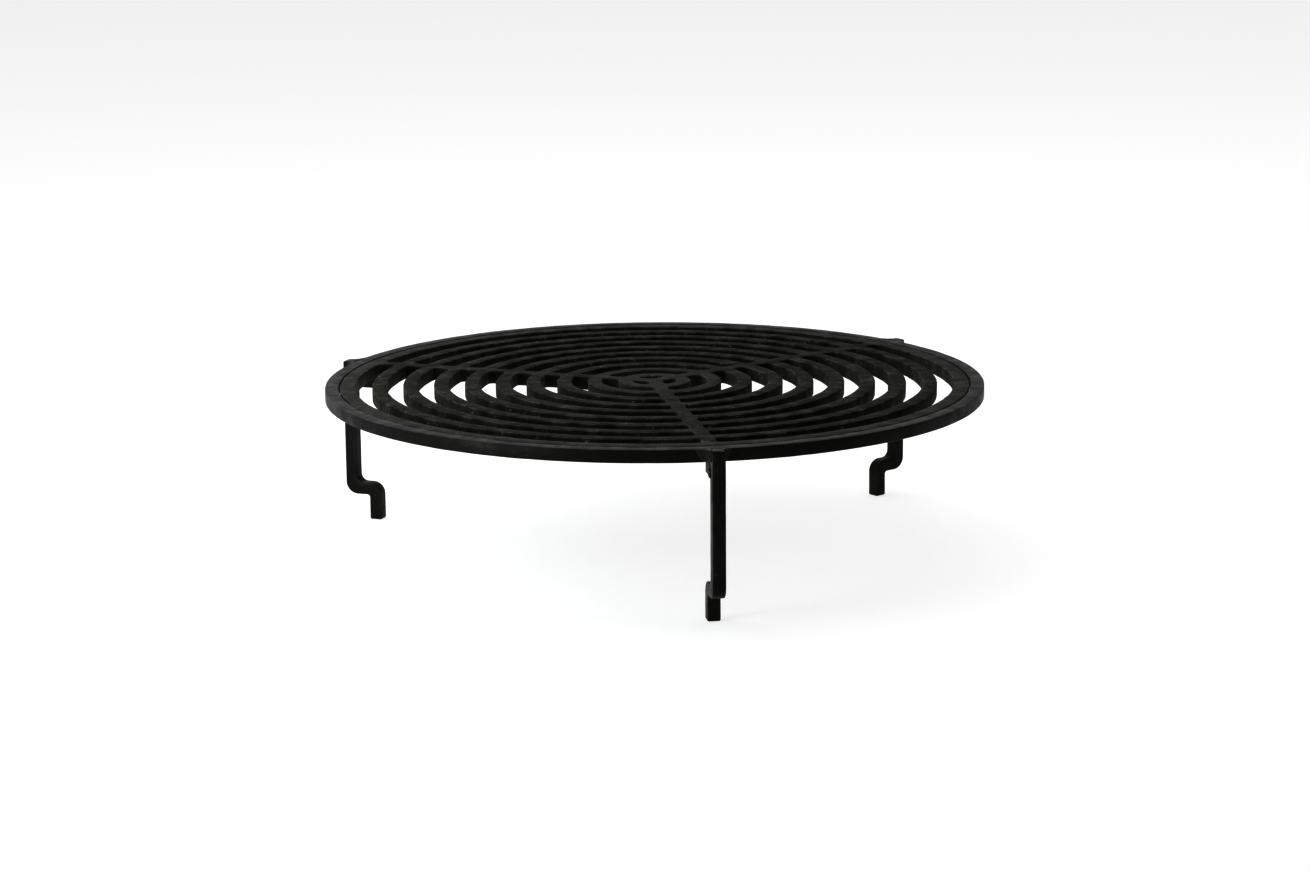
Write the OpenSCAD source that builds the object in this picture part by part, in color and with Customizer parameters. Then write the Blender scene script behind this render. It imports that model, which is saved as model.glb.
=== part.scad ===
// Grill insert for a round fire bowl: a flat support ring on three bent bar legs, with a loose round cast grate.
// The axis of the rings is the Z axis, and the feet stand at z = 0. The front is towards -Y.

/* [Support ring] */
// Outside diameter of the support ring
ring_d = 420; // [340:10:600]
// Width of the support ring seen from above
ring_w = 8.6; // [8:0.2:14]
// Thickness of the ring and of the square bar of the legs and rests
bar = 8; // [6:0.5:10]

/* [Legs] */
// Angle of the front leg in plan. At -75 the legs keep clear of the X and Y axes, so the ring
// stays centred in the object's outline.
front_leg_angle = -75; // [-90:1:-60]
// Height of the ring's top above the feet
stand_h = 106; // [90:1:160]
// How far each leg steps inwards to its foot
jog_in = 17; // [14:1:24]
// Length of the foot below the underside of the step
foot_drop = 16.5; // [12:0.5:30]
// Outside radius of the lower bend, from the post to the step
post_bend_r = 8; // [4:0.5:10]
// Inside radius of the same bend
post_bend_in_r = 5; // [1:0.5:6]
// Outside radius of the upper bend, from the step to the foot
foot_bend_r = 8; // [3:0.5:8]
// Inside radius of the same bend
foot_bend_in_r = 2; // [0.5:0.5:3]
// Radius of the foot's bottom corners
foot_corner_r = 1.2; // [0.4:0.2:2]

/* [Grate rests] */
// How far each rest reaches under the rim of the grate
rest_reach = 4.5; // [3:0.5:7]

/* [Welds] */
// Width of the larger bead beside each post, at the top of the ring
bead_w = 9; // [3:0.5:10]
// Width of the smaller bead on the other side of the post
bead_small_w = 5; // [2:0.5:6]
// Size of the bead under each rest
rest_bead = 3; // [2:0.5:5]

/* [Grate] */
// Width of the grate's rings and ribs seen from above
grate_bar_w = 8.8; // [6:0.2:10]
// How much wider the rim is than the rings inside it
rim_extra = 0.6; // [0:0.2:2]
// Depth of the grate, from its top down
grate_h = 8.6; // [8:0.2:12]
// Number of concentric rings, the rim included
ring_count = 10; // [6:1:10]
// Outside diameter of the smallest ring
inner_ring_d = 46; // [40:2:60]
// Gap between the grate and the support ring
seat_gap = 1.2; // [1:0.2:3]
// Clearance between the grate and its rests
seat_clear = 0.3; // [0.1:0.1:0.5]

/* [Hidden] */
$fn = 180;
ring_r = ring_d / 2;
ring_in_r = ring_r - ring_w;
ring_z = stand_h - bar;
rest_l = ring_w + seat_gap + rest_reach;
grate_r = ring_in_r - seat_gap;
grate_z = stand_h - grate_h;
rest_z = grate_z - seat_clear - bar;
slot_out_r = grate_r - rim_extra;
ring_pitch = (slot_out_r - inner_ring_d / 2) / (ring_count - 1);
post_out_r = ring_r + bar;
foot_in_r = ring_r - jog_in;
foot_out_r = foot_in_r + bar;
step_top_z = foot_drop + bar;
hub_d = 1.5 * grate_bar_w;
// How far a bead stands out along the post, as a share of its width along the ring
bead_stand = 0.7;
// How far a bead's blank reaches into the ring before its back is cut to the ring's face
bead_bite = 1;
SIDES = ["front", "right", "left"];
COAT = [0.10, 0.10, 0.10];
CAST = [0.16, 0.16, 0.17];
BEAD = [0.13, 0.13, 0.13];

// A flat ring standing on z = 0, its inside cut right through.
module flat_ring(outer_r, inner_r, height) {
    rotate_extrude()
        translate([inner_r, 0])
            square([outer_r - inner_r, height]);
}

// Puts a piece drawn along +X at one of the three legs.
module at_side(i) {
    rotate([0, 0, front_leg_angle + i * 120]) children();
}

// Stands an outline of radius and height upright in the leg's plane, as thick as given.
module upright(thickness) {
    rotate([90, 0, 0])
        linear_extrude(thickness, center = true) children();
}

// The sliver between a square corner at the origin and an arc of radius r inside it. The corner's
// two sides run along sx and sy, each 1 or -1.
module corner_sliver(r, sx, sy) {
    difference() {
        translate([min(0, sx * r), min(0, sy * r)]) square(r);
        translate([sx * r, sy * r]) circle(r);
    }
}

// Outline of a leg: the post, the step inwards and the foot, with its four bend arcs.
module leg_outline() {
    difference() {
        union() {
            translate([ring_r, foot_drop]) square([bar, stand_h - foot_drop]);
            translate([foot_in_r, foot_drop]) square([jog_in + bar, bar]);
            translate([foot_in_r, 0]) square([bar, step_top_z]);
            translate([ring_r, step_top_z]) corner_sliver(post_bend_in_r, -1, 1);
            translate([foot_out_r, foot_drop]) corner_sliver(foot_bend_in_r, 1, -1);
        }
        translate([post_out_r, foot_drop]) corner_sliver(post_bend_r, -1, 1);
        translate([foot_in_r, step_top_z]) corner_sliver(foot_bend_r, 1, -1);
        translate([foot_in_r, 0]) corner_sliver(foot_corner_r, 1, 1);
        translate([foot_out_r, 0]) corner_sliver(foot_corner_r, -1, 1);
    }
}

// One fillet weld in the corner between the ring's outer face and one side of the post. It is
// widest at the top and half as wide at the ring's underside.
module post_bead(width, side) {
    intersection() {
        translate([0, 0, ring_z])
            linear_extrude(bar)
                polygon([
                    [ring_r - bead_bite, side * bar / 2],
                    [ring_r + width * bead_stand, side * bar / 2],
                    [ring_r, side * (bar / 2 + width)],
                    [ring_r - bead_bite, side * (bar / 2 + width)]
                ]);
        rotate([90, 0, 90])
            linear_extrude(post_out_r)
                polygon([
                    [side * bar / 2, ring_z],
                    [side * (bar + width) / 2, ring_z],
                    [side * (bar / 2 + width), stand_h],
                    [side * bar / 2, stand_h]
                ]);
    }
}

module support_ring() {
    color(COAT)
        translate([0, 0, ring_z]) flat_ring(ring_r, ring_in_r, bar);
}

module leg(i) {
    color(COAT)
        at_side(i) upright(bar) leg_outline();
}

// A short straight bar under the ring that carries the rim of the grate.
module rest(i) {
    color(COAT)
        at_side(i)
            translate([ring_r - rest_l, -bar / 2, rest_z]) cube([rest_l, bar, bar]);
}

// The two beads that hold a post to the ring. Their backs follow the ring's outer face.
module ring_weld(i) {
    color(BEAD)
        difference() {
            at_side(i) {
                post_bead(bead_w, -1);
                post_bead(bead_small_w, 1);
            }
            translate([0, 0, ring_z - bead_bite]) cylinder(r = ring_r, h = bar + 2 * bead_bite);
        }
}

// The bead in the corner under a rest, against its post.
module rest_weld(i) {
    color(BEAD)
        at_side(i) upright(bar)
            polygon([
                [ring_r, rest_z],
                [ring_r - rest_bead, rest_z],
                [ring_r, rest_z - rest_bead]
            ]);
}

// Plan of the grate: a rim, concentric rings on an even pitch, and three ribs that line up with
// the legs and meet in the centre.
module grate_plan() {
    for (k = [0 : ring_count - 1])
        difference() {
            circle(k == 0 ? grate_r : slot_out_r - k * ring_pitch);
            circle(slot_out_r - k * ring_pitch - grate_bar_w);
        }
    for (i = [0 : 2])
        at_side(i)
            translate([0, -grate_bar_w / 2]) square([grate_r - bar / 2, grate_bar_w]);
    circle(d = hub_d);
}

// The loose grate, one casting.
module cooking_grate() {
    color(CAST)
        translate([0, 0, grate_z])
            linear_extrude(grate_h) grate_plan();
}

support_ring();
for (i = [0 : 2]) {
    leg(i);
    rest(i);
    ring_weld(i);
    rest_weld(i);
}
cooking_grate();
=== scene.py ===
import math

import bmesh
import bpy
from mathutils import Matrix, Vector, noise
from mathutils.geometry import delaunay_2d_cdt


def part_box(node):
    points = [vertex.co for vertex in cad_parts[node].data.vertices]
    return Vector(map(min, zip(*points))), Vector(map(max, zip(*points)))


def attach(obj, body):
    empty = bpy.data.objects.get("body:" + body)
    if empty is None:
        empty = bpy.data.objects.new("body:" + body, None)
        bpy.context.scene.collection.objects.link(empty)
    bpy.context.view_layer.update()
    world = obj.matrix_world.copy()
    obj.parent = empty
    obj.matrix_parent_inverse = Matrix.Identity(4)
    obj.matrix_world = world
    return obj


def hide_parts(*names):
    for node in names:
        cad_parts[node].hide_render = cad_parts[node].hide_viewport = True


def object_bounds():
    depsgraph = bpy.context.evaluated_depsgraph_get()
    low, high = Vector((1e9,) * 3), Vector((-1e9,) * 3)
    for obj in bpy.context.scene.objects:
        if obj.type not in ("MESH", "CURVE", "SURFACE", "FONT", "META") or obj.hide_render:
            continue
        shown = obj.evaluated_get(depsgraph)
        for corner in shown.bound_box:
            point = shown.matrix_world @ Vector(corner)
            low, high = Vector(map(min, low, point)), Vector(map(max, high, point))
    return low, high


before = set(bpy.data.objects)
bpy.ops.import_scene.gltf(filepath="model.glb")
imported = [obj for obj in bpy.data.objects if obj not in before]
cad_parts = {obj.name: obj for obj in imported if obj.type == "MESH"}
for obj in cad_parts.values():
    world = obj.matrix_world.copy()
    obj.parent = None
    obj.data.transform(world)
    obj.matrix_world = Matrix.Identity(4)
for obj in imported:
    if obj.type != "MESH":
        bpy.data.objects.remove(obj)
cad_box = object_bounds()
# noise_vector takes its seed from the clock unless it is given one.
noise.seed_set(7)

# ---------------------------------------------------------------------------------------------
# Sizes, in metres. Places and outer sizes come from the frame, and the rest are named here.

MM = 0.001
ring_lo, ring_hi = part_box("support_ring")
grate_lo, grate_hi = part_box("cooking_grate")
RING_R = ring_hi.x
RING_TOP, RING_UNDER = ring_hi.z, ring_lo.z
BAR = RING_TOP - RING_UNDER
RING_W = 8.6 * MM
RING_EDGE = 0.6 * MM
# A skin is about how far a surface wanders from its true place, and how far it is drawn in for it.
# A wave is how broad its lumps and hollows are.
RING_SKIN, RING_WAVE = 0.1 * MM, 14 * MM
RING_SEGMENTS = 480

GRATE_TOP, GRATE_UNDER = grate_hi.z, grate_lo.z
# The grate is 0.2 mm wider in radius than its solid, so that no light shows through its seat gap.
GRATE_R = RING_R - RING_W - 1.0 * MM
SLOT_OUT_R = GRATE_R - 0.8 * MM
GRATE_BAR = 8.8 * MM
RING_COUNT = 10
INNER_RING_R = 23 * MM
RING_PITCH = (SLOT_OUT_R - INNER_RING_R) / (RING_COUNT - 1)
GRATE_EDGE = 0.5 * MM
GRATE_DRAFT = 0.04 * MM
CORNER_FILLET = 2.2 * MM
HUB_FILLET = 4.0 * MM
GRATE_SKIN, GRATE_WAVE = 0.15 * MM, 9 * MM
# Spacing of the points on the sides of the openings, and of those inside the flat faces.
SIDE_SPACING, FACE_SPACING = 2.6 * MM, 3.2 * MM
RIM_SEGMENTS = 420
FILLET_STEPS = 5

JOG = 17 * MM
FOOT_DROP = 16.5 * MM
FOOT_OUT_R = RING_R - JOG + BAR
FOOT_IN_R = RING_R - JOG
POST_OUT_R = RING_R + BAR
STEP_TOP = FOOT_DROP + BAR
POST_BEND, POST_BEND_IN = 8 * MM, 5 * MM
FOOT_BEND, FOOT_BEND_IN = 8 * MM, 2 * MM
LEG_EDGE, LEG_END_EDGE = 0.5 * MM, 1.0 * MM
REST_EDGE = 0.5 * MM
BAR_SKIN, BAR_WAVE = 0.08 * MM, 12 * MM
REST_IN_R = RING_R - RING_W - 5.7 * MM
rest_lo, rest_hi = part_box("rest_front")
REST_UNDER, REST_TOP = rest_lo.z, rest_hi.z

# Beads: on which side of a post each one is and its width along the ring, how far its edges and
# its root reach into the metal, how far below the ring's top it starts, the height of its ripples,
# the breadth of its lumps, how hollow it is, and how worn it looks.
RING_BEADS = ((-1, 9 * MM), (1, 5 * MM))
BEAD_BITE, POST_ROOT, RING_ROOT = 0.15 * MM, 0.3 * MM, 0.4 * MM
BEAD_START = 0.1 * MM
BEAD_RIPPLE, BEAD_LUMP = 0.35 * MM, 2.2 * MM
BEAD_HOLLOW = 0.34
BEAD_WORN = 0.35
# The bead by a rest: half its width, its height, where it starts below the rest's top, and over
# what length it turns each corner.
REST_BEAD_WIDE, REST_BEAD_TALL = 2.2 * MM, 1.1 * MM
REST_BEAD_START, REST_BEAD_TURN = 0.3 * MM, 1.6 * MM

SIDES = ("front", "right", "left")

# The grate's rim and middle are paler and greyer than the rings between, and the rim is smoother.
RIM_SHADE, RIM_SMOOTHER, RIM_BLEND = 2.6, 0.16, 1.0 * MM
MIDDLE_SHADE, MIDDLE_R, MIDDLE_BLEND = 3.2, 40 * MM, 24 * MM

# Materials: features per metre, then what each black coat looks like. Base is its darkest tone,
# mottle how much paler its patches are, worn the tone of specks and edges, and olive how much blue
# is missing.
PATCH_SCALE, LUMP_SCALE = 75.0, 160.0
LOOKS = {
    "cast_iron": {
        "base": 0.016, "mottle": 2.8, "worn": 0.2, "olive": 0.5, "zones": True,
        "grain_scale": 800.0, "grain_depth": 0.08 * MM, "lump_depth": 0.25 * MM,
        "roughness": 0.66, "specular": 0.035, "sheen": 0.08,
    },
    "coated_steel": {
        "base": 0.0078, "mottle": 1.33, "worn": 0.05, "olive": 0.12, "zones": False,
        "grain_scale": 1100.0, "grain_depth": 0.05 * MM, "lump_depth": 0.15 * MM,
        "roughness": 0.44, "specular": 0.17, "sheen": 0.1,
    },
    "weld_bead": {
        "base": 0.0118, "mottle": 1.33, "worn": 0.08, "olive": 0.2, "zones": False,
        "grain_scale": 900.0, "grain_depth": 0.06 * MM, "lump_depth": 0.1 * MM,
        "roughness": 0.4, "specular": 0.22, "sheen": 0.1,
    },
}

# Light: brightness of the world by direction, the floor's grey and its own glow, and the lamps'
# power in watts.
WORLD_FRONT, WORLD_BACK = 0.2, 1.0
WORLD_LEFT, WORLD_RIGHT = 1.05, 0.55
WORLD_SIDE = 0.12
FLOOR_GREY, FLOOR_GLOW = 0.3, 0.8
OVERHEAD_POWER = 30
LEFT_POWER = 2.6
LOW_LEFT_POWER = 3.4
COOL_WHITE = (0.93, 0.97, 1.0)
# Below 1: the picture's dark tones are pressed together, as in a studio photo of a black thing.
PICTURE_GAMMA = 0.6

# Camera: a long lens, ten ring radii away. Angles in degrees. The turn is from the front leg's
# own direction, and the aim is below the middle of the ring's top.
CAMERA_DISTANCE = 10 * RING_R
CAMERA_TURN, CAMERA_HEIGHT, CAMERA_ROLL = 80.25, 11.157, -0.42
CAMERA_AIM_BELOW = 37.1 * MM
LENS_MM, SENSOR_MM = 90.2, 36


def leg_angle(side):
    """The plan angle at which a leg stands, from the middle of its box."""
    lo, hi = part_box("leg_" + side)
    return math.atan2(lo.y + hi.y, lo.x + hi.x)


# ---------------------------------------------------------------------------------------------
# Materials


def node(tree, kind, **inputs):
    """Adds a shader node and sets the named inputs."""
    made = tree.nodes.new(kind)
    for name, value in inputs.items():
        made.inputs[name.replace("_", " ")].default_value = value
    return made


def noise_node(tree, coords, scale, detail=4.0, rough=0.6):
    """Smooth noise, mostly between 0.3 and 0.7."""
    made = node(tree, "ShaderNodeTexNoise", Scale=scale, Detail=detail, Roughness=rough)
    tree.links.new(coords, made.inputs["Vector"])
    return made.outputs["Fac"]


def ramp(tree, value, low, high, out_low=0.0, out_high=1.0):
    """Maps value from low..high to out_low..out_high, clamped and smooth."""
    made = tree.nodes.new("ShaderNodeMapRange")
    made.interpolation_type = "SMOOTHSTEP"
    made.inputs["From Min"].default_value = low
    made.inputs["From Max"].default_value = high
    made.inputs["To Min"].default_value = out_low
    made.inputs["To Max"].default_value = out_high
    tree.links.new(value, made.inputs["Value"])
    return made.outputs["Result"]


def math_node(tree, operation, a, b):
    made = tree.nodes.new("ShaderNodeMath")
    made.operation = operation
    for socket, value in zip(made.inputs, (a, b)):
        if isinstance(value, (int, float)):
            socket.default_value = value
        else:
            tree.links.new(value, socket)
    return made.outputs["Value"]


def mix_colour(tree, factor, a, b):
    made = tree.nodes.new("ShaderNodeMix")
    made.data_type = "RGBA"
    tree.links.new(factor, made.inputs["Factor"])
    for name, value in (("A", a), ("B", b)):
        socket = [s for s in made.inputs if s.name == name and s.type == "RGBA"][0]
        if isinstance(value, tuple):
            socket.default_value = value
        else:
            tree.links.new(value, socket)
    return [s for s in made.outputs if s.type == "RGBA"][0]


def shade(value, olive=0.0):
    """A grey of the given brightness, with its blue taken down by the share olive."""
    return (value * (1 - olive * 0.06), value, value * (1 - olive), 1.0)


def outside_radius(tree, coords, radius, blend):
    """1 where a point lies further than radius from the Z axis, 0 inside it."""
    flat = tree.nodes.new("ShaderNodeVectorMath")
    flat.operation = "MULTIPLY"
    flat.inputs[1].default_value = (1, 1, 0)
    tree.links.new(coords, flat.inputs[0])
    length = tree.nodes.new("ShaderNodeVectorMath")
    length.operation = "LENGTH"
    tree.links.new(flat.outputs["Vector"], length.inputs[0])
    return ramp(tree, length.outputs["Value"], radius - blend, radius + blend)


def grate_zones(tree, coords, patches, look, colour):
    """The grate's own zones, paler at the rim and in the middle. Returns the colour and the rim."""
    base, olive = look["base"], look["olive"]
    rim = outside_radius(tree, coords, SLOT_OUT_R - GRATE_BAR, RIM_BLEND)
    rim_mask = math_node(tree, "MULTIPLY", rim, ramp(tree, patches, 0.3, 0.6, 0.6, 1.0))
    colour = mix_colour(tree, rim_mask, colour, shade(RIM_SHADE * base, olive * 0.5))
    outside = outside_radius(tree, coords, MIDDLE_R, MIDDLE_BLEND)
    middle = math_node(tree, "SUBTRACT", 1.0, outside)
    colour = mix_colour(tree, middle, colour, shade(MIDDLE_SHADE * base, olive * 0.2))
    return colour, rim


def coat_colour(tree, coords, patches, look):
    """Mottled black with pale specks and worn edges. Returns the colour and the rim, if any."""
    base, olive, worn = look["base"], look["olive"], look["worn"]
    paler = shade(base * look["mottle"], olive * 0.6)
    colour = mix_colour(tree, ramp(tree, patches, 0.35, 0.7), shade(base, olive), paler)
    rim = None
    if look["zones"]:
        colour, rim = grate_zones(tree, coords, patches, look, colour)
    specks = noise_node(tree, coords, look["grain_scale"] * 0.55, 2.0, 0.5)
    in_patches = ramp(tree, patches, 0.45, 0.65)
    speck_mask = math_node(tree, "MULTIPLY", ramp(tree, specks, 0.62, 0.72), in_patches)
    colour = mix_colour(tree, speck_mask, colour, shade(worn, olive * 0.2))
    edge = tree.nodes.new("ShaderNodeAttribute")
    edge.attribute_name = "edge"
    wear = ramp(tree, patches, 0.42, 0.62, 0.1, 0.8)
    edge_mask = math_node(tree, "MULTIPLY", edge.outputs["Fac"], wear)
    return mix_colour(tree, edge_mask, colour, shade(worn * 0.8, olive * 0.3)), rim


def coat_roughness(tree, grain, patches, rim, roughness):
    """Finely varied by the grain, smoother in the pale patches and on the grate's rim."""
    fine = ramp(tree, grain, 0.3, 0.7, -0.05, 0.05)
    broad = ramp(tree, patches, 0.35, 0.65, roughness + 0.08, roughness - 0.08)
    rough = math_node(tree, "ADD", fine, broad)
    if rim is None:
        return rough
    return math_node(tree, "SUBTRACT", rough, math_node(tree, "MULTIPLY", rim, RIM_SMOOTHER))


def coat_normal(tree, coords, grain, look):
    """Bumps from the fine grain and from soft lumps."""
    lumps = noise_node(tree, coords, LUMP_SCALE, 3.0, 0.6)
    fine = math_node(tree, "MULTIPLY", grain, look["grain_depth"])
    broad = math_node(tree, "MULTIPLY", lumps, look["lump_depth"])
    bump = node(tree, "ShaderNodeBump", Strength=1.0, Distance=1.0)
    tree.links.new(math_node(tree, "ADD", fine, broad), bump.inputs["Height"])
    return bump.outputs["Normal"]


def black_metal(name, look):
    """Matt black metal. The sheen stands for the dusty, rough surface that looks paler at a low
    angle."""
    material = bpy.data.materials.new(name)
    material.use_nodes = True
    tree = material.node_tree
    shader = tree.nodes["Principled BSDF"]
    shader.inputs["Specular IOR Level"].default_value = look["specular"]
    shader.inputs["Specular Tint"].default_value = shade(1.0, look["olive"])
    shader.inputs["Sheen Weight"].default_value = look["sheen"]
    shader.inputs["Sheen Roughness"].default_value = 0.45
    coords = tree.nodes.new("ShaderNodeTexCoord").outputs["Object"]
    patches = noise_node(tree, coords, PATCH_SCALE, 4.0, 0.6)
    grain = noise_node(tree, coords, look["grain_scale"], 3.0, 0.6)
    colour, rim = coat_colour(tree, coords, patches, look)
    rough = coat_roughness(tree, grain, patches, rim, look["roughness"])
    tree.links.new(colour, shader.inputs["Base Color"])
    tree.links.new(rough, shader.inputs["Roughness"])
    tree.links.new(coat_normal(tree, coords, grain, look), shader.inputs["Normal"])
    return material


def make_materials():
    return {name: black_metal(name, look) for name, look in LOOKS.items()}


# ---------------------------------------------------------------------------------------------
# Mesh helpers


def arc(centre, radius, start, end, steps):
    """Points on an arc, both ends included."""
    return [
        (
            centre[0] + radius * math.cos(start + (end - start) * i / steps),
            centre[1] + radius * math.sin(start + (end - start) * i / steps),
        )
        for i in range(steps + 1)
    ]


def edge_profile(height, top_r, bottom_r, draft, steps=4):
    """How far the wall lies inside the outline, and its height above the underside, going down.
    Each row is (inset, z, edge weight)."""
    rows = []
    for i in range(steps + 1):
        turn = math.pi / 2 * i / steps
        weight = math.sin(2 * turn)
        rows.append((top_r * (1 - math.sin(turn)), height - top_r * (1 - math.cos(turn)), weight))
    rows.append((draft / 2, height / 2, 0.0))
    for i in range(steps + 1):
        turn = math.pi / 2 * i / steps
        weight = math.sin(2 * turn)
        inset = draft + bottom_r * (1 - math.cos(turn))
        rows.append((inset, bottom_r * (1 - math.sin(turn)), weight))
    return rows


def uneven(point, depth, size):
    """A small smooth shift of a point, the same for the same place."""
    point = Vector(point)
    shift = noise.noise_vector(point / size) + 0.4 * noise.noise_vector(point * 2.7 / size)
    return point + shift * depth


def make_piece(name, bm, weights, body, nodes, slot, skin=0.0, wave=1.0):
    """Turns a bmesh into a finished piece that stands for CAD nodes. It stays between the CAD
    model's lowest and highest levels."""
    layer = bm.verts.layers.float.new("edge")
    bm.verts.ensure_lookup_table()
    for vert, weight in zip(bm.verts, weights):
        vert[layer] = weight
    lowest, highest = cad_box[0][2], cad_box[1][2]
    for vert in bm.verts:
        vert.co = uneven(vert.co, skin, wave)
        vert.co.z = min(max(vert.co.z, lowest), highest)
    bmesh.ops.recalc_face_normals(bm, faces=bm.faces)
    for face in bm.faces:
        face.smooth = True
    mesh = bpy.data.meshes.new(name)
    bm.to_mesh(mesh)
    bm.free()
    mesh.materials.append(MATERIALS[slot])
    piece = bpy.data.objects.new(name, mesh)
    bpy.context.scene.collection.objects.link(piece)
    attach(piece, body)
    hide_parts(*nodes)


def add_loops(bm, loops, ring=False):
    """Joins successive loops of points with quads, and the last loop to the first for a ring.
    Returns the rows of verts."""
    rows = [[bm.verts.new(p) for p in loop] for loop in loops]
    count = len(rows[0])
    pairs = list(zip(rows, rows[1:])) + ([(rows[-1], rows[0])] if ring else [])
    for upper, lower in pairs:
        for i in range(count):
            j = (i + 1) % count
            bm.faces.new((upper[i], upper[j], lower[j], lower[i]))
    return rows


# ---------------------------------------------------------------------------------------------
# The grate


def at_rib(angle, along, across):
    """A point in plan, so far along a rib's direction and so far across it."""
    c, s = math.cos(angle), math.sin(angle)
    return (along * c - across * s, along * s + across * c)


def side_steps(radius):
    """How many steps a third of a circle takes."""
    return max(12, round(radius * math.tau / 3 / SIDE_SPACING))


def rib_side(angle, first, last, across, steps=4):
    """Points along one side of a rib, the last left out."""
    return [at_rib(angle, first + (last - first) * i / steps, across) for i in range(steps)]


def hub_side(start, end, grow):
    """The inner corner of an opening that ends at the hub. Returns its points, and how far out
    on the ribs it begins."""
    off = GRATE_BAR / 2 + HUB_FILLET
    middle = (start + end) / 2
    reach = off / math.sin(math.pi / 3)
    centre = (reach * math.cos(middle), reach * math.sin(middle))
    last = start + 3 * math.pi / 2
    points = arc(centre, HUB_FILLET + grow, end + math.pi / 2, last, FILLET_STEPS * 2)
    return points, off / math.tan(math.pi / 3)


def ring_side(inner_r, start, end, grow):
    """The inner side of an opening, along the next ring in, with its two filleted corners.
    Returns its points, and how far out on the ribs it begins."""
    off = GRATE_BAR / 2 + CORNER_FILLET
    fillet = CORNER_FILLET + grow
    inner_at = math.sqrt((inner_r + CORNER_FILLET) ** 2 - off ** 2)
    lean = math.atan2(off, inner_at)
    centre = at_rib(end, inner_at, -off)
    points = arc(centre, fillet, end + math.pi / 2, end - lean + math.pi, FILLET_STEPS)[:-1]
    steps = side_steps(inner_r)
    points += arc((0, 0), inner_r - grow, end - lean, start + lean, steps)[:-1]
    centre = at_rib(start, inner_at, off)
    last = start + 3 * math.pi / 2
    points += arc(centre, fillet, start + lean + math.pi, last, FILLET_STEPS)
    return points, inner_at


def hole_outline(ring, rib, grow):
    """Outline of the opening inside one ring, between rib number rib and the next, grown
    outwards into the metal by grow. The last ring's openings end at the hub."""
    start = leg_angle("front") + rib * math.tau / 3
    end = start + math.tau / 3
    outer_r = SLOT_OUT_R - ring * RING_PITCH - GRATE_BAR
    off = GRATE_BAR / 2 + CORNER_FILLET
    fillet = CORNER_FILLET + grow
    outer_at = math.sqrt((outer_r - CORNER_FILLET) ** 2 - off ** 2)
    lean = math.atan2(off, outer_at)
    points = arc((0, 0), outer_r + grow, start + lean, end - lean, side_steps(outer_r))[:-1]
    centre = at_rib(end, outer_at, -off)
    points += arc(centre, fillet, end - lean, end + math.pi / 2, FILLET_STEPS)[:-1]
    if ring == RING_COUNT - 1:
        inner, inner_at = hub_side(start, end, grow)
    else:
        inner, inner_at = ring_side(outer_r + GRATE_BAR - RING_PITCH, start, end, grow)
    across = GRATE_BAR / 2 - grow
    points += rib_side(end, outer_at, inner_at, -across) + inner[:-1]
    points += rib_side(start, inner_at, outer_at, across)
    centre = at_rib(start, outer_at, off)
    points += arc(centre, fillet, start - math.pi / 2, start + lean, FILLET_STEPS)[:-1]
    return points


def fill_plan(bm, loops, extra, z):
    """Fills the flat face bounded by the first loop of verts, less the other loops, with
    triangles that also use the extra points. Returns the verts of these."""
    verts = [v for loop in loops for v in loop]
    faces = []
    first = 0
    for loop in loops:
        faces.append(list(range(first, first + len(loop))))
        first += len(loop)
    points = [v.co.to_2d() for v in verts] + [Vector(p) for p in extra]
    inner = [bm.verts.new((p[0], p[1], z)) for p in extra]
    verts += inner
    inside_only, tolerance = 1, 1e-7
    made = delaunay_2d_cdt(points, [], faces, inside_only, tolerance)
    _, _, triangles, vert_sources, _, face_sources = made
    origin = [verts[sources[0]] for sources in vert_sources]
    for triangle, sources in zip(triangles, face_sources):
        if sources == [0]:
            bm.faces.new([origin[i] for i in triangle])
    return inner


def make_grate():
    """One casting: the rim and nine rings, three ribs and the hub, with rounded edges, filleted
    corners and a slightly uneven cast surface."""
    bm = bmesh.new()
    under, top = GRATE_UNDER + GRATE_SKIN, GRATE_TOP - GRATE_SKIN
    profile = edge_profile(top - under, GRATE_EDGE, GRATE_EDGE * 0.8, GRATE_DRAFT)
    outlines = [lambda grow: arc((0, 0), GRATE_R - grow, 0, math.tau, RIM_SEGMENTS)[:-1]]
    for ring in range(RING_COUNT):
        for rib in range(3):
            outlines.append(lambda grow, ring=ring, rib=rib: hole_outline(ring, rib, grow))
    weights = []
    tops, bottoms = [], []
    for outline in outlines:
        loops = [[(x, y, under + z) for x, y in outline(inset)] for inset, z, _ in profile]
        rows = add_loops(bm, loops)
        for row, (_, _, weight) in zip(rows, profile):
            weights += [weight] * len(row)
        tops.append(rows[0])
        bottoms.append(rows[-1])
    middle = []
    for ring in range(RING_COUNT):
        radius = SLOT_OUT_R - ring * RING_PITCH - GRATE_BAR / 2
        count = round(math.tau * radius / FACE_SPACING)
        middle += arc((0, 0), radius, 0, math.tau, count)[:-1]
    for loops, z in ((tops, top), (bottoms, under)):
        added = fill_plan(bm, loops, middle, z)
        weights += [0.0] * len(added)
    nodes = ["cooking_grate"]
    name = "cooking_grate_casting"
    make_piece(name, bm, weights, "grate", nodes, "cast_iron", GRATE_SKIN, GRATE_WAVE)


# ---------------------------------------------------------------------------------------------
# The stand


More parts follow.
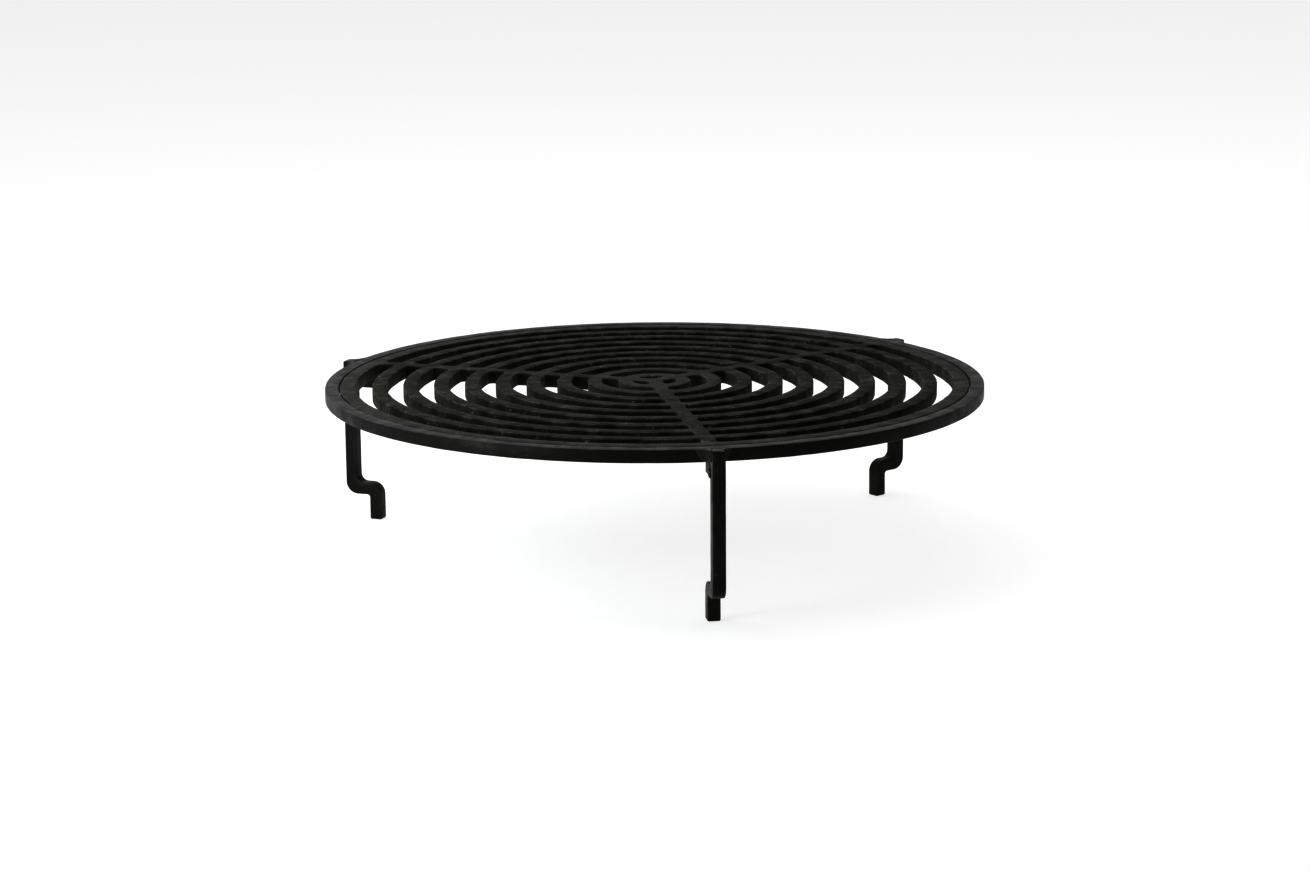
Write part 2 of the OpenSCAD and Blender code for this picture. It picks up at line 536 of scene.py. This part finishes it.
def make_support_ring():
    """The flat ring, with softly rounded edges and a slightly uneven face."""
    height = BAR - 2 * RING_SKIN
    profile = edge_profile(height, RING_EDGE, RING_EDGE, 0.0)
    mid = RING_R - RING_W / 2
    outer = [(RING_R - RING_SKIN - inset, z, w) for inset, z, w in profile]
    under = [(mid, 0.0, 0.0)]
    inner = [(RING_R - RING_W + inset, z, w) for inset, z, w in reversed(profile)]
    top = [(mid, height, 0.0)]
    section = outer + under + inner + top
    base = RING_UNDER + RING_SKIN
    bm = bmesh.new()
    loops = [
        [(x, y, base + z) for x, y in arc((0, 0), r, 0, math.tau, RING_SEGMENTS)[:-1]]
        for r, z, _ in section
    ]
    add_loops(bm, loops, ring=True)
    weights = [w for _, _, w in section for _ in range(RING_SEGMENTS)]
    nodes = ["support_ring"]
    name = "support_ring_bar"
    make_piece(name, bm, weights, "stand", nodes, "coated_steel", RING_SKIN, RING_WAVE)


def bar_section(outer, inner, thickness, edge):
    """Closed section of a bar between two points of its side outline, thickness across, with
    rounded corners. Each row is a point (u, v, z), the outline in u and z, and its edge weight."""
    along = inner - outer
    width = along.length
    along.normalize()
    half = thickness / 2
    corners = (
        (edge, half - edge, math.pi),
        (width - edge, half - edge, math.pi / 2),
        (width - edge, edge - half, 0.0),
        (edge, edge - half, -math.pi / 2),
    )
    flat = []
    for index, (w, v, start) in enumerate(corners):
        for i in range(4):
            turn = start - math.pi / 2 * i / 3
            weight = 1.0 if 0 < i < 3 else 0.3
            flat.append((w + edge * math.cos(turn), v + edge * math.sin(turn), weight))
        next_w, next_v, next_start = corners[(index + 1) % 4]
        here = Vector(flat[-1][:2])
        there = Vector((next_w + edge * math.cos(next_start), next_v + edge * math.sin(next_start)))
        for share in (0.33, 0.67):
            between = here.lerp(there, share)
            flat.append((between.x, between.y, 0.0))
    return [((outer.x + along.x * a, b, outer.y + along.y * a), weight) for a, b, weight in flat]


def rounded_end(station, outwards, radius, steps=3):
    """Rows for one end of a bar, from its flat face inwards: (station, inset, shift)."""
    rows = []
    for i in range(steps):
        turn = math.pi / 2 * i / steps
        shift = outwards * -radius * (1 - math.cos(turn))
        rows.append((station, radius * (1 - math.sin(turn)), shift))
    rows.append((station, 0.0, outwards * -radius))
    return rows


def sweep_bar(name, stations, edge, end_edge, side, node_name):
    """A square bar through stations, each a pair of outline points, with rounded edges and ends,
    turned to one of the three sides."""
    place = Matrix.Rotation(leg_angle(side), 4, "Z")
    bm = bmesh.new()
    weights = []
    loops = []
    first, last = stations[0], stations[-1]
    up = (Vector(first[0]) - Vector(stations[1][0])).normalized()
    down = (Vector(last[0]) - Vector(stations[-2][0])).normalized()
    rows = rounded_end(first, up, end_edge)
    rows += [(station, 0.0, Vector((0, 0))) for station in stations[1:-1]]
    rows += reversed(rounded_end(last, down, end_edge))
    for station, inset, shift in rows:
        outer, inner = (Vector(p) + shift for p in station)
        across = (inner - outer).normalized() * (inset + BAR_SKIN)
        thickness = BAR - 2 * (inset + BAR_SKIN)
        section = bar_section(outer + across, inner - across, thickness, edge)
        loops.append([place @ Vector(p) for p, _ in section])
        weights += [max(w, 0.8 if inset else 0.0) for _, w in section]
    made = add_loops(bm, loops)
    bm.faces.new(made[0])
    bm.faces.new(made[-1])
    make_piece(name, bm, weights, "stand", [node_name], "coated_steel", BAR_SKIN, BAR_WAVE)


def spread(a, b, steps):
    """Points from a to b, the end left out."""
    return [tuple(Vector(a).lerp(Vector(b), i / steps)) for i in range(steps)]


def leg_stations():
    """Pairs of outer and inner outline points down the post, in along the step, down the foot."""
    top = ((POST_OUT_R, RING_TOP), (RING_R, RING_TOP))
    post_out = (POST_OUT_R - POST_BEND, FOOT_DROP + POST_BEND)
    post_in = (RING_R - POST_BEND_IN, STEP_TOP + POST_BEND_IN)
    foot_out = (FOOT_OUT_R + FOOT_BEND_IN, FOOT_DROP - FOOT_BEND_IN)
    foot_in = (FOOT_IN_R + FOOT_BEND, STEP_TOP - FOOT_BEND)
    turn_steps = 8
    outer = spread(top[0], (POST_OUT_R, post_out[1]), 20)
    inner = spread(top[1], (RING_R, post_in[1]), 20)
    outer += arc(post_out, POST_BEND, 0, -math.pi / 2, turn_steps)
    inner += arc(post_in, POST_BEND_IN, 0, -math.pi / 2, turn_steps)
    outer += arc(foot_out, FOOT_BEND_IN, math.pi / 2, math.pi, turn_steps)
    inner += arc(foot_in, FOOT_BEND, math.pi / 2, math.pi, turn_steps)
    outer += spread(outer[-1], (FOOT_OUT_R, 0), 5)[1:] + [(FOOT_OUT_R, 0.0)]
    inner += spread(inner[-1], (FOOT_IN_R, 0), 5)[1:] + [(FOOT_IN_R, 0.0)]
    return list(zip(outer, inner))


def make_leg(side):
    sweep_bar(f"leg_{side}_bar", leg_stations(), LEG_EDGE, LEG_END_EDGE, side, "leg_" + side)


def make_rest(side):
    """The short bar under the ring, from its sawn inner end to the post."""
    steps = 6
    top = spread((REST_IN_R, REST_TOP), (RING_R, REST_TOP), steps) + [(RING_R, REST_TOP)]
    under = spread((REST_IN_R, REST_UNDER), (RING_R, REST_UNDER), steps) + [(RING_R, REST_UNDER)]
    stations = list(zip(top, under))
    sweep_bar(f"rest_{side}_bar", stations, REST_EDGE, REST_EDGE, side, "rest_" + side)


def bead(bm, path, seed, columns=9):
    """A weld bead through path, whose rows are (corner, along one face, along the other face):
    a hollow fillet between the two faces, with the ripples of a hand weld."""
    loops = []
    rows = len(path)
    for i, (corner, first, second) in enumerate(path):
        a, b, c = Vector(first), Vector(second), Vector(corner)
        wave = BEAD_RIPPLE * (0.5 + 0.5 * math.cos(i / (rows - 1) * rows * 0.9 + seed))
        loop = [c - (a + b - 2 * c) * 0.02]
        for k in range(columns + 1):
            t = k / columns
            bulge = math.sin(math.pi * t)
            straight = a.lerp(b, t)
            hollow = (c - straight) * BEAD_HOLLOW
            spot = Vector((straight.x, straight.y, straight.z + seed)) / BEAD_LUMP
            lump = noise.noise(spot) * BEAD_RIPPLE * 0.8
            outwards = (straight - c).normalized()
            loop.append(straight + (hollow + outwards * (wave + lump)) * bulge)
        loops.append(loop)
    made = add_loops(bm, loops)
    bm.faces.new(made[0])
    bm.faces.new(made[-1])


def bead_width(width, share):
    """The width of a ring bead, share of the way down: about half of it is left at the bottom,
    and its last stretch tapers off."""
    size = width * (1 - 0.55 * share)
    if share > 0.85:
        size *= 1 - 0.6 * ((share - 0.85) / 0.15) ** 2
    return size


def make_ring_weld(side, seed, rows=26):
    """The two beads between a post and the ring's outer face, wide at the top and narrow below."""
    place = Matrix.Rotation(leg_angle(side), 4, "Z")
    half = BAR / 2
    root_r = math.sqrt(RING_R ** 2 - half ** 2) - RING_ROOT
    top = RING_TOP - BEAD_START
    bm = bmesh.new()
    for across, width in RING_BEADS:
        path = []
        for i in range(rows):
            share = i / (rows - 1)
            z = top - (top - RING_UNDER) * share
            size = bead_width(width, share)
            reach = min(size * 0.85, BAR - 0.4 * MM)
            face_r = math.sqrt(RING_R ** 2 - (half + size) ** 2) - BEAD_BITE
            path.append((
                place @ Vector((root_r, across * (half - POST_ROOT), z)),
                place @ Vector((face_r, across * (half + size), z)),
                place @ Vector((RING_R + reach, across * (half - BEAD_BITE), z)),
            ))
        bead(bm, path, seed + across)
    weights = [BEAD_WORN] * len(bm.verts)
    nodes = ["ring_weld_" + side]
    make_piece(f"ring_weld_{side}_beads", bm, weights, "stand", nodes, "weld_bead")


def rest_bead_course(along, run):
    """Where the bead by a rest is, so far along its course down one side, under the rest and up
    the other side, and the direction in which it stands out there, which turns at the corners."""
    half = BAR / 2
    if along < run:
        place, out = Vector((RING_R, -half, REST_TOP - REST_BEAD_START - along)), Vector((0, -1, 0))
    elif along < run + BAR:
        place, out = Vector((RING_R, along - run - half, REST_UNDER)), Vector((0, 0, -1))
    else:
        place, out = Vector((RING_R, half, REST_UNDER + (along - run - BAR))), Vector((0, 1, 0))
    near = min(abs(along - run), abs(along - run - BAR)) / REST_BEAD_TURN
    if near < 1:
        sideways = Vector((0, -1 if along < run + half else 1, 0))
        other = sideways if abs(out.z) else Vector((0, 0, -1))
        out = (out + other * (1 - near)).normalized()
    return place, out


def make_rest_weld(side, seed, rows=44, columns=10):
    """The bead that runs down one side of a rest's joint with its post, under it and up again."""
    turned = Matrix.Rotation(leg_angle(side), 4, "Z")
    bm = bmesh.new()
    run = BAR - REST_BEAD_START
    loops = []
    for i in range(rows):
        share = i / (rows - 1)
        place, normal = rest_bead_course(share * (2 * run + BAR), run)
        taper = min(1.0, 0.25 + 6 * share, 0.25 + 6 * (1 - share))
        wave = 0.75 + 0.25 * math.cos(i * 1.1 + seed)
        wide, tall = REST_BEAD_WIDE * taper, REST_BEAD_TALL * taper * wave
        loop = []
        for k in range(columns):
            turn = math.tau * k / columns
            lump = 1 + 0.25 * noise.noise(Vector((i * 0.35, k * 0.6, seed)))
            out = normal * tall * max(-0.3, math.sin(turn)) * lump
            loop.append(turned @ (place + Vector((wide * math.cos(turn), 0, 0)) + out))
        loops.append(loop)
    made = add_loops(bm, loops)
    bm.faces.new(made[0])
    bm.faces.new(made[-1])
    weights = [BEAD_WORN] * len(bm.verts)
    nodes = ["rest_weld_" + side]
    make_piece(f"rest_weld_{side}_bead", bm, weights, "stand", nodes, "weld_bead")


# ---------------------------------------------------------------------------------------------
# Studio


def make_floor():
    """A wide mid-grey floor that looks white mostly by its own glow, as a light table does, so
    that shadows stay faint."""
    material = bpy.data.materials.new("pale_floor")
    material.use_nodes = True
    shader = material.node_tree.nodes["Principled BSDF"]
    shader.inputs["Base Color"].default_value = (FLOOR_GREY, FLOOR_GREY, FLOOR_GREY, 1)
    shader.inputs["Roughness"].default_value = 0.9
    shader.inputs["Specular IOR Level"].default_value = 0.0
    shader.inputs["Emission Color"].default_value = (1, 1, 1, 1)
    shader.inputs["Emission Strength"].default_value = FLOOR_GLOW
    bm = bmesh.new()
    bmesh.ops.create_grid(bm, x_segments=2, y_segments=2, size=30)
    mesh = bpy.data.meshes.new("floor")
    bm.to_mesh(mesh)
    bm.free()
    mesh.materials.append(material)
    floor = bpy.data.objects.new("floor", mesh)
    bpy.context.scene.collection.objects.link(floor)


def soft_box(name, place, target, size, power, colour):
    """A square lamp at place, size wide, that points at target."""
    light = bpy.data.lights.new(name, "AREA")
    light.shape = "SQUARE"
    light.size = size
    light.energy = power
    light.color = colour
    lamp = bpy.data.objects.new(name, light)
    lamp.location = place
    lamp.rotation_euler = (Vector(target) - Vector(place)).to_track_quat("-Z", "Y").to_euler()
    bpy.context.scene.collection.objects.link(lamp)


def make_world():
    """Soft light from all round: brightest behind, more from the left than from the right, and
    least in front. The ramps run over the X or Y of the direction that one looks in."""
    world = bpy.data.worlds.new("studio")
    bpy.context.scene.world = world
    world.use_nodes = True
    tree = world.node_tree
    coords = tree.nodes.new("ShaderNodeTexCoord").outputs["Generated"]
    parts = tree.nodes.new("ShaderNodeSeparateXYZ")
    tree.links.new(coords, parts.inputs["Vector"])
    back = ramp(tree, parts.outputs["Y"], -0.25, 0.9, WORLD_FRONT, WORLD_BACK)
    side = ramp(tree, parts.outputs["X"], -0.9, 0.9, WORLD_LEFT, WORLD_RIGHT)
    left = ramp(tree, parts.outputs["X"], -0.65, -0.35, WORLD_SIDE, 0.0)
    total = math_node(tree, "ADD", math_node(tree, "MULTIPLY", back, side), left)
    tree.links.new(total, tree.nodes["Background"].inputs["Strength"])
    tree.nodes["Background"].inputs["Color"].default_value = (1, 1, 1, 1)


def make_studio():
    make_world()
    soft_box("overhead", (0, 0.6, 2.4), (0, 0.1, 0), 2.4, OVERHEAD_POWER, (1.0, 1.0, 1.0))
    soft_box("left_box", (-0.62, 0.12, 0.42), (-0.15, 0, 0.1), 0.4, LEFT_POWER, COOL_WHITE)
    low_left, leg_middle = (-0.5, -0.55, 0.16), (-0.2, 0, 0.05)
    soft_box("low_left_box", low_left, leg_middle, 0.3, LOW_LEFT_POWER, COOL_WHITE)
    bpy.context.scene.view_settings.view_transform = "Standard"
    bpy.context.scene.view_settings.gamma = PICTURE_GAMMA


def make_camera():
    """The photograph's view: a long lens, low, slightly to the right of the front."""
    turn = leg_angle("front") + math.radians(CAMERA_TURN)
    height = math.radians(CAMERA_HEIGHT)
    centre = Vector((0, 0, RING_TOP))
    level = Vector((math.sin(turn), -math.cos(turn), 0)) * math.cos(height)
    place = centre + (level + Vector((0, 0, math.sin(height)))) * CAMERA_DISTANCE
    target = centre - Vector((0, 0, CAMERA_AIM_BELOW))
    data = bpy.data.cameras.new("camera")
    data.sensor_width = SENSOR_MM
    data.lens = LENS_MM
    camera = bpy.data.objects.new("camera", data)
    camera.location = place
    aimed = (target - place).to_track_quat("-Z", "Y").to_matrix().to_4x4()
    roll = Matrix.Rotation(math.radians(CAMERA_ROLL), 4, "Z")
    camera.rotation_euler = (aimed @ roll).to_euler()
    bpy.context.scene.collection.objects.link(camera)
    bpy.context.scene.camera = camera


MATERIALS = make_materials()
make_camera()
make_studio()
make_floor()
make_grate()
make_support_ring()
for index, side in enumerate(SIDES):
    make_leg(side)
    make_rest(side)
    make_ring_weld(side, 1.7 * index)
    make_rest_weld(side, 2.3 * index)
